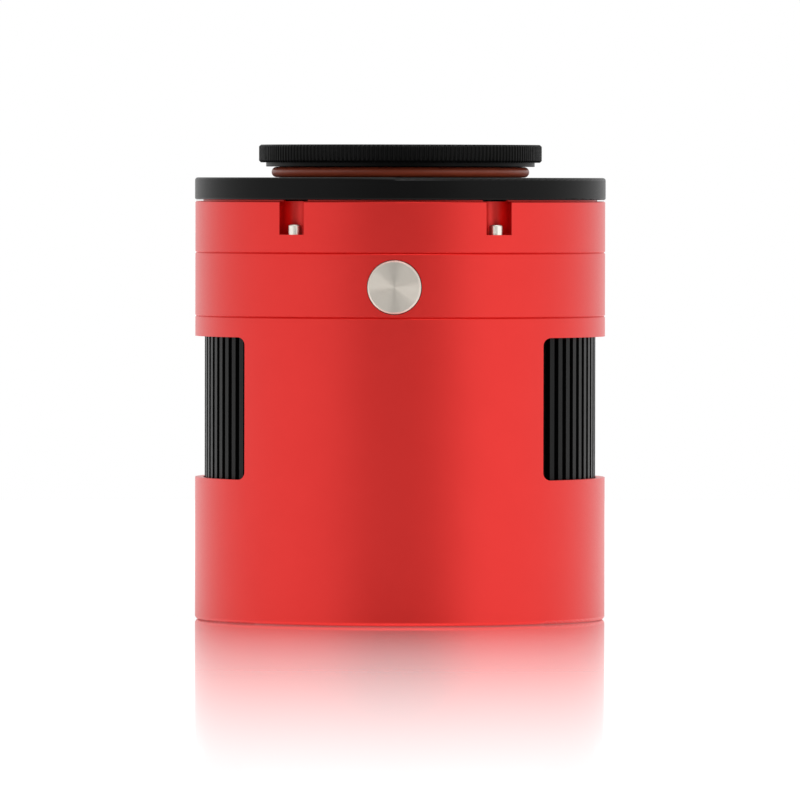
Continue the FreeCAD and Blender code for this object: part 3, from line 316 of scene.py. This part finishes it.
# %% A ring that walks along an outline
def walk(shape, segments, outline):
    """Extrudes one ring through (radius, height) steps in metres; returns each step's vertices."""
    radius, height = outline[0]
    verts = bmesh.ops.create_circle(shape, segments=segments, radius=radius)["verts"]
    bmesh.ops.translate(shape, verts=verts, vec=(0, 0, height))
    edges = list({edge for vert in verts for edge in vert.link_edges})
    rings = [verts]
    for next_radius, next_height in outline[1:]:
        made = bmesh.ops.extrude_edge_only(shape, edges=edges)["geom"]
        verts = [item for item in made if isinstance(item, bmesh.types.BMVert)]
        fresh = set(verts)
        edges = [item for item in made if isinstance(item, bmesh.types.BMEdge) and set(item.verts) <= fresh]
        scale = next_radius / radius
        bmesh.ops.scale(shape, verts=verts, vec=(scale, scale, 1))
        bmesh.ops.translate(shape, verts=verts, vec=(0, 0, next_height - height))
        radius, height = next_radius, next_height
        rings.append(verts)
    return rings


# %% Closing a ring with a flat face
def lid(shape, ring):
    """Fills the ring with one face."""
    edges = {edge for vert in ring for edge in vert.link_edges if edge.is_boundary}
    bmesh.ops.edgenet_fill(shape, edges=list(edges))


# %% [markdown]
# ## Screw threads
# A thread is a small triangle swept along a helix. Spin does that in one call: it turns the triangle about
# the axis and, with dvec, lifts it a little at each step. Its base sinks into the shank, so no gap shows.


# %% A helical thread about Z
THREAD_STEPS = 96
THREAD_HALF = 0.42


def thread(shape, root, crest, start, pitch, turns):
    """Adds a closed helical ridge; sizes in metres."""
    half = pitch * THREAD_HALF
    corners = [(root, start - half), (crest, start), (root, start + half)]
    verts = [shape.verts.new((radius, 0, height)) for radius, height in corners]
    face = shape.faces.new(verts)
    bmesh.ops.spin(shape, geom=[face], cent=(0, 0, 0), axis=(0, 0, 1), dvec=(0, 0, pitch / THREAD_STEPS),
                   angle=turns * math.tau, steps=round(turns * THREAD_STEPS), use_duplicate=False)


# %% [markdown]
# ## The dust cap
# The real cap is turned from bar, black anodised, with a straight knurl of about 1 mm pitch pressed into
# its rim so that a gloved hand can turn it. A bump map would leave the rim's outline smooth, so the knurl
# is cut into the ring itself: the rings of the rim have four vertices to a ridge, and two of them sink.

# %% Sizes of the cap
cap_low, cap_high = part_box("dust_cap")
cap_top = cap_high.z
RIM = cap_high.x
RIDGES = 195
KNURL = 0.28 * MM
RIM_THICK = 3.9 * MM
COLLAR = 29.5 * MM
COLLAR_THICK = 0.9 * MM
SHANK = 26.62 * MM
CAP_BORE = 23.6 * MM
CAP_BEVEL = 0.4 * MM
ROOF = 2.0 * MM
DISH = 26.0 * MM
FINE_BEVEL = 0.1 * MM
END_BEVEL = 0.2 * MM
POLE = 0.6 * MM
rim_foot = cap_top - RIM_THICK
print("cap rim", round(RIM / MM, 2), "mm, top at", round(cap_top / MM, 2), "mm")


# %% Sinking the grooves of a knurl
def knurl(shape, rings, ridges, depth):
    """Moves two of each ridge's four vertices inwards."""
    step = math.tau / (ridges * 4)
    for ring in rings:
        sunk = [vert for vert in ring if round(math.atan2(vert.co.y, vert.co.x) / step) % 4 in (0, 1)]
        radius = Vector(sunk[0].co.xy).length
        scale = (radius - depth) / radius
        bmesh.ops.scale(shape, verts=sunk, vec=(scale, scale, 1))


# %% The knurled cap
cap = bmesh.new()
collar_foot = rim_foot - COLLAR_THICK
outline = [
    (POLE, cap_top - CAP_BEVEL), (DISH - CAP_BEVEL, cap_top - CAP_BEVEL), (DISH, cap_top - FINE_BEVEL),
    (DISH + FINE_BEVEL, cap_top), (RIM - CAP_BEVEL, cap_top), (RIM, cap_top - CAP_BEVEL),
    (RIM, rim_foot + CAP_BEVEL), (RIM - CAP_BEVEL, rim_foot), (COLLAR, rim_foot),
    (COLLAR, collar_foot + FINE_BEVEL), (COLLAR - FINE_BEVEL, collar_foot), (SHANK, collar_foot),
    (SHANK, cap_low.z + END_BEVEL), (SHANK - END_BEVEL, cap_low.z), (CAP_BORE, cap_low.z),
    (CAP_BORE, cap_top - ROOF - CAP_BEVEL), (CAP_BORE - CAP_BEVEL, cap_top - ROOF),
    (POLE, cap_top - ROOF),
]
cap_rings = walk(cap, RIDGES * 4, outline)
knurl(cap, cap_rings[5:7], RIDGES, KNURL)
lid(cap, cap_rings[0])
lid(cap, cap_rings[-1])
cap_black = satin_black("aluminium_turned_anodised_black", 0.34, 0.44, "#0d0d0c", "#0a0a0a")
keep("knurled_cap", cap, cap_black, "cap", ["dust_cap"])

# %% The cap's thread, M54 x 0.75
PITCH = 0.75 * MM
SUNK = 0.1 * MM
CAP_CREST = 26.9 * MM
cap_thread = bmesh.new()
thread(cap_thread, SHANK - SUNK, CAP_CREST, cap_low.z + 0.5 * MM, PITCH, 2.4)
keep("cap_thread", cap_thread, cap_black, "cap")

# %% [markdown]
# ## The desiccant plug
# The plug closes the chamber of drying tablets. It is turned from stainless steel and left bright: a faced
# end with rings finer than a hair, a polished chamfer round it, and a threaded shank. It is drawn upright,
# as on the lathe, and then turned to point out of the camera's side.

# %% Sizes of the plug
plug_low, plug_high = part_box("desiccant_plug")
plug_centre = Vector(((plug_low.x + plug_high.x) / 2, 0, (plug_low.z + plug_high.z) / 2))
HEAD = (plug_high.x - plug_low.x) / 2
plug_long = plug_high.y - plug_low.y
PLUG_SHANK = 4.6 * MM
PLUG_CREST = 4.92 * MM
PLUG_RIM = 0.35 * MM
PLUG_EDGE = 0.08 * MM
PLUG_TIP = 0.3 * MM
PLUG_POLE = 0.15 * MM
HEAD_THICK = 2.0 * MM
print("plug head radius", round(HEAD / MM, 2), "mm, length", round(plug_long / MM, 2), "mm")

# %% The plug, then its thread
plug = bmesh.new()
outline = [
    (PLUG_POLE, 0), (HEAD - PLUG_RIM, 0), (HEAD - PLUG_EDGE, -PLUG_RIM * 0.75), (HEAD, -PLUG_RIM),
    (HEAD, -HEAD_THICK), (PLUG_SHANK, -HEAD_THICK), (PLUG_SHANK, PLUG_TIP - plug_long),
    (PLUG_SHANK - PLUG_TIP, -plug_long), (PLUG_POLE, -plug_long),
]
plug_rings = walk(plug, 128, outline)
lid(plug, plug_rings[0])
lid(plug, plug_rings[-1])
thread(plug, PLUG_SHANK - SUNK, PLUG_CREST, PLUG_TIP * 2 - plug_long, PITCH, 3.0)
outwards = Matrix.Rotation(math.pi / 2, 4, "X")
face_place = Matrix.Translation((plug_centre.x, plug_low.y, plug_centre.z))
bmesh.ops.transform(plug, matrix=face_place @ outwards, verts=plug.verts)
PLUG_AXIS = (0.0, 1.0, 0.0)
plug_steel = turned("steel_stainless_faced", ("#d9d2c8", "#cfc8bd"), plug_centre, PLUG_AXIS,
                    0.12, 0.34, 0.37, 0.92)
keep("turned_plug", plug, plug_steel, "plug", ["desiccant_plug"])

# %% [markdown]
# ## The fan
# Seven blades are moulded with the hub in one piece. Each is a curved plate that twists from root to tip,
# because the tip moves faster than the root. An edge of five vertices is bent to the blade's camber, then
# extruded outwards step by step with a little turn each time, and solidify gives it its thickness.

# %% Sizes of the fan
fan_low, fan_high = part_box("fan_rotor")
fan_centre = (fan_low + fan_high) / 2
fan_tip = (fan_high.x - fan_low.x) / 2
fan_thick = fan_high.z - fan_low.z
HUB = 11.5 * MM
BLADES = 7
CHORD = 13.0 * MM
CAMBER = 1.6 * MM
BLADE_THICK = 1.1 * MM
TIP_GAP = 0.3 * MM
STATIONS = 8
LEAN = math.radians(38)
TWIST = math.radians(-1.6)
FLARE = 1.025
print("fan tip radius", round(fan_tip / MM, 1), "mm, thickness", round(fan_thick / MM, 1), "mm")

# %% One twisted blade
blade = bmesh.new()
root = HUB * 0.93
chain = []
for share in (-1, -0.5, 0, 0.5, 1):
    rise = CAMBER * (1 - share ** 2) - CAMBER / 2
    chain.append(blade.verts.new((root, share * CHORD / 2, rise)))
edges = [blade.edges.new(pair) for pair in zip(chain, chain[1:])]
bmesh.ops.rotate(blade, verts=chain, cent=(0, 0, 0), matrix=Matrix.Rotation(LEAN, 3, "X"))
stride = (fan_tip - TIP_GAP - root) / STATIONS
for _ in range(STATIONS):
    made = bmesh.ops.extrude_edge_only(blade, edges=edges)["geom"]
    verts = [item for item in made if isinstance(item, bmesh.types.BMVert)]
    fresh = set(verts)
    edges = [item for item in made if isinstance(item, bmesh.types.BMEdge) and set(item.verts) <= fresh]
    bmesh.ops.translate(blade, verts=verts, vec=(stride, 0, 0))
    bmesh.ops.rotate(blade, verts=verts, cent=(0, 0, 0), matrix=Matrix.Rotation(TWIST, 3, "X"))
    bmesh.ops.scale(blade, verts=verts, vec=(1, FLARE, 1))
bmesh.ops.recalc_face_normals(blade, faces=blade.faces)
bmesh.ops.solidify(blade, geom=blade.faces[:], thickness=BLADE_THICK)
print("one blade has", len(blade.faces), "faces")

# %% Seven blades and the hub
bmesh.ops.spin(blade, geom=blade.verts[:] + blade.edges[:] + blade.faces[:], cent=(0, 0, 0), axis=(0, 0, 1),
               angle=math.tau * (BLADES - 1) / BLADES, steps=BLADES - 1, use_duplicate=True)
top = fan_thick / 2
soft = 1.0 * MM
crisp = 0.3 * MM
hub_outline = [
    (soft / 2, top), (HUB - soft, top), (HUB - crisp, top - crisp), (HUB, top - soft), (HUB, crisp - top),
    (HUB - crisp, -top), (soft / 2, -top),
]
hub_rings = walk(blade, 72, hub_outline)
lid(blade, hub_rings[0])
lid(blade, hub_rings[-1])
bmesh.ops.translate(blade, verts=blade.verts, vec=fan_centre)
keep("fan_blades", blade, finishes["black_plastic"], "fan", ["fan_rotor"])

# %% [markdown]
# ## Painted shade behind the notches
# The tilt plate floats 0.3 mm above the front ring, and the ring's light trap stops at the notches. Behind
# the two front notches a pair of low black strips closes the gap. They are painted shade: dark sheets put
# where the gap only lies in shade, and they also block the light that would shine through it. One stands on
# the ring, and the other hangs from the plate just outside it. They pass each other without touching when
# the plate tilts. Spin makes each from one small rectangle.


# %% A strip bent to an arc
STRIP_START = math.radians(229)
STRIP_END = math.radians(311)
STRIP_THICK = 0.4 * MM
STRIP_STEPS = 48


def strip(name, inner, low, high, body):
    """An arc of rectangular strip about Z, across the camera's front; sizes in metres."""
    outer = inner + STRIP_THICK
    shape = bmesh.new()
    corners = [(inner, low), (outer, low), (outer, high), (inner, high)]
    verts = [shape.verts.new((radius * math.cos(STRIP_START), radius * math.sin(STRIP_START), height))
             for radius, height in corners]
    face = shape.faces.new(verts)
    bmesh.ops.spin(shape, geom=[face], cent=(0, 0, 0), axis=(0, 0, 1), angle=STRIP_END - STRIP_START,
                   steps=STRIP_STEPS, use_duplicate=False)
    keep(name, shape, finishes["black_rubber"], body)


# %% The two strips
LIGHT_TRAP = 0.9 * MM
SHADE_STRIP_HIGH = 0.19 * MM
ring_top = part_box("front_ring")[1].z - LIGHT_TRAP
plate_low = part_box("front_plate")[0].z
# Painted shade: black strips put in the gap behind the notches, where it only lies in shade; they also
# block light through it.
strip("shade_strip_on_ring", 37.2 * MM, ring_top, ring_top + SHADE_STRIP_HIGH, "camera")
strip("shade_strip_on_plate", 38.2 * MM, plate_low - SHADE_STRIP_HIGH, plate_low, "tilting_plate")

# %% [markdown]
# ## The studio
# The camera body is a mirror, though a rough one: its colour at each point is the room's brightness in the
# direction that point reflects. A white tent lights it evenly, and a darker gap in the tent, where the lens
# looks through, gives the soft dark band down the middle of the body. The tent is the world's own shader,
# with its brightness read from the direction: a ramp round the horizon. Behind the camera body the lens
# sees plain white paper.

# %% Brightness round the horizon
TENT = ((-180, 1.0), (-62, 1.0), (-38, 0.86),
        (-14, 0.27), (16, 0.215), (28, 0.5), (43, 1.16), (100, 1.1), (180, 1.0))
scene = bpy.context.scene
world = bpy.data.worlds.new("white_tent")
world.use_nodes = True
scene.world = world
tent = world.node_tree
tent.nodes.clear()
sight = add(tent, "TexCoord", {}).outputs["Generated"]
split = add(tent, "SeparateXYZ", {}, {0: sight})
front = add(tent, "Math", {"operation": "MULTIPLY", 1: -1.0}, {0: split.outputs["Y"]})
turn = add(tent, "Math", {"operation": "ARCTAN2"}, {0: split.outputs["X"], 1: front.outputs[0]})
share = add(tent, "MapRange", {"From Min": -math.pi, "From Max": math.pi}, {"Value": turn.outputs[0]})
ramp = add(tent, "ValToRGB", {}, {"Fac": share.outputs["Result"]})
ramp.color_ramp.interpolation = "EASE"
stops = ramp.color_ramp.elements
while len(stops) < len(TENT):
    stops.new(0.5)
for stop, (angle, _) in zip(stops, TENT):
    stop.position = (angle + 180) / 360
for stop, (_, value) in zip(stops, TENT):
    stop.color = (value, value, value, 1)
light = add(tent, "Background", {"Strength": 1.0}, {"Color": ramp.outputs["Color"]})
paper = add(tent, "Background", {"Color": (1, 1, 1, 1), "Strength": 1.0})
direct = add(tent, "LightPath", {})
room = add(tent, "MixShader", {}, {0: direct.outputs["Is Camera Ray"], 1: light.outputs[0],
                                   2: paper.outputs[0]})
add(tent, "OutputWorld", {}, {"Surface": room.outputs[0]})
print("tent with", len(stops), "brightness stops")

# %% [markdown]
# ## Floor
# The floor is a round sheet of pale acrylic, lit a little from below as on a product table. It is polished
# where the camera stands, so it mirrors the foot, and the polish fades out over half a metre.

# %% A round acrylic table
TABLE = 0.9
FOOT = 0.045
POLISH_END = 1.05
GLOW = 0.32
table_shape = bmesh.new()
bmesh.ops.create_circle(table_shape, cap_ends=True, segments=128, radius=TABLE)
table_mesh = bpy.data.meshes.new("table")
table_shape.to_mesh(table_mesh)
table_shape.free()
table = bpy.data.objects.new("table", table_mesh)
scene.collection.objects.link(table)
acrylic, tree, place = new_material("acrylic_polished_white")
glow = add(tree, "Emission", {"Color": (1, 1, 1, 1), "Strength": GLOW})
matt = add(tree, "BsdfDiffuse", {"Color": colour("#f4f4f4")})
white = add(tree, "AddShader", {}, {0: matt.outputs[0], 1: glow.outputs[0]})
haze = add(tree, "TexNoise", {"Scale": 1 / (30 * MM)}, {"Vector": place})
satin = add(tree, "MapRange", {"To Min": 0.03, "To Max": 0.05}, {"Value": haze.outputs["Fac"]})
mirror = add(tree, "BsdfGlossy", {"Color": (1, 1, 1, 1)}, {"Roughness": satin.outputs["Result"]})
reach = add(tree, "VectorMath", {"operation": "LENGTH"}, {0: place})
polish = add(tree, "MapRange", {"From Min": FOOT, "From Max": POLISH_END, "To Min": 1.2, "To Max": 0.0},
             {"Value": reach.outputs["Value"]})
glance = add(tree, "Fresnel", {"IOR": 1.49})
share = add(tree, "Math", {"operation": "MULTIPLY", "use_clamp": True},
            {0: polish.outputs["Result"], 1: glance.outputs[0]})
sheet = add(tree, "MixShader", {}, {0: share.outputs[0], 1: white.outputs[0], 2: mirror.outputs[0]})
add(tree, "OutputMaterial", {}, {"Surface": sheet.outputs[0]})
table_mesh.materials.append(acrylic)
print("table", 2 * TABLE, "m across")

# %% [markdown]
# ## Soft boxes
# A large soft box hangs over the camera's front. It draws the pale line along the plate's rounded edge and
# brightens the tops of the two posts. A small one stands up to the right, where it makes the two pale fans
# on the plug's turned face.


# %% A soft box that points at the camera
def soft_box(name, place, aim, wide, high, power):
    """An area light; sizes in metres and power in watts."""
    light = bpy.data.lights.new(name, "AREA")
    light.shape = "RECTANGLE"
    light.size, light.size_y, light.energy = wide, high, power
    lamp = bpy.data.objects.new(name, light)
    lamp.location = place
    lamp.rotation_euler = (Vector(aim) - Vector(place)).to_track_quat("-Z", "Y").to_euler()
    lamp.visible_camera = False
    scene.collection.objects.link(lamp)
    return lamp


soft_box("overhead_box", (0.1, -0.5, 1.1), (0, 0, 0.09), 0.6, 0.5, 6.0)
soft_box("key_strip", (0.62, -1.15, 1.1), (0, 0, 0.07), 0.24, 0.24, 2.2)

# %% [markdown]
# ## The view
# A long lens from over two metres away keeps the sides of the camera parallel. The eye is level with the
# front plate, so the plate's top is seen edge on and the foot as a shallow curve.

# %% The camera
LENS = 495.7
SENSOR = 36.0
DISTANCE = 2.42
EYE = 0.0958
AIM = 0.0481
ROLL = math.radians(0.1)
SIDE_STEP = math.radians(1.6)
lens = bpy.data.cameras.new("studio_lens")
lens.lens = LENS
lens.sensor_width = SENSOR
viewer = bpy.data.objects.new("studio_camera", lens)
viewer.location = (DISTANCE * math.sin(SIDE_STEP), -DISTANCE * math.cos(SIDE_STEP), EYE)
sight_line = Vector((0, 0, AIM)) - viewer.location
level = sight_line.to_track_quat("-Z", "Y").to_matrix()
viewer.rotation_euler = (level @ Matrix.Rotation(ROLL, 3, "Z")).to_euler()
scene.collection.objects.link(viewer)
scene.camera = viewer
scene.view_settings.view_transform = "Standard"
print("camera at", [round(value, 3) for value in viewer.location])
